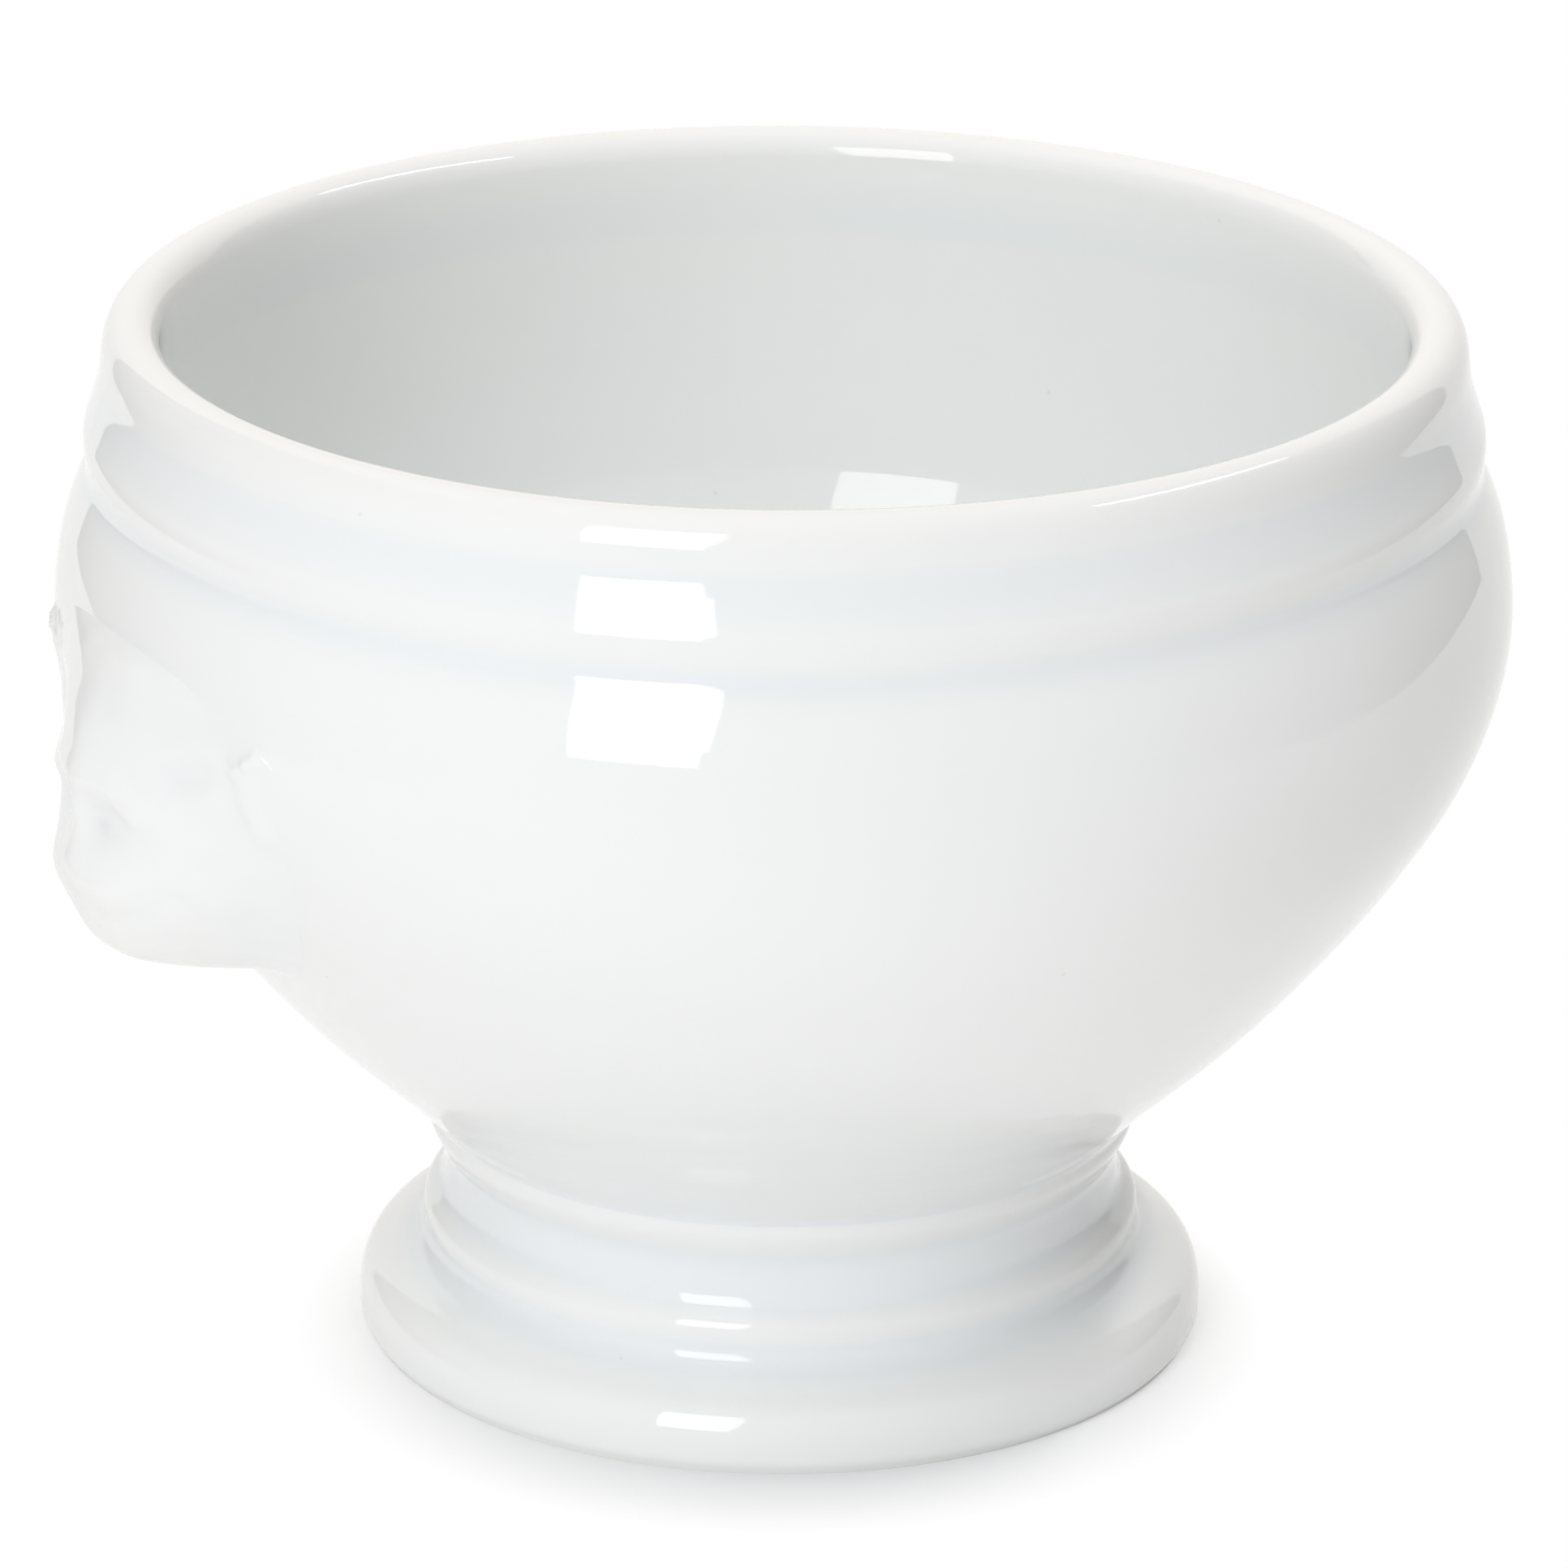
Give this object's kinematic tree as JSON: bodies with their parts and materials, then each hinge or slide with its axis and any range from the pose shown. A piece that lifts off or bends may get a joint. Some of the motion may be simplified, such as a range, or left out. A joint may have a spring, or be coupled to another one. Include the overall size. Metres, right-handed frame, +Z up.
{
  "type": "footed soup bowl",
  "caption": "Footed white porcelain soup bowl with a rolled lip, a banded rim and a lion's head in relief on each side; it holds one serving and bakes under a grill.",
  "frame": {"origin": "on the bowl's axis, in the plane that the standing ring rests on", "axes": "+Z up along the bowl's axis, +X towards the right lion's head"},
  "size_m": [0.1382, 0.128, 0.0944],
  "materials": {
    "bowl_body": "white porcelain under a clear gloss glaze",
    "pedestal_foot": "white porcelain under a clear gloss glaze, standing ring bare",
    "lion_head_left": "white porcelain under a clear gloss glaze",
    "lion_head_right": "white porcelain under a clear gloss glaze"
  },
  "bodies": {
    "root": {"bowl_body": "bowl_body", "pedestal_foot": "pedestal_foot", "lion_head_left": "lion_head_left", "lion_head_right": "lion_head_right"}
  },
  "joints": []
}
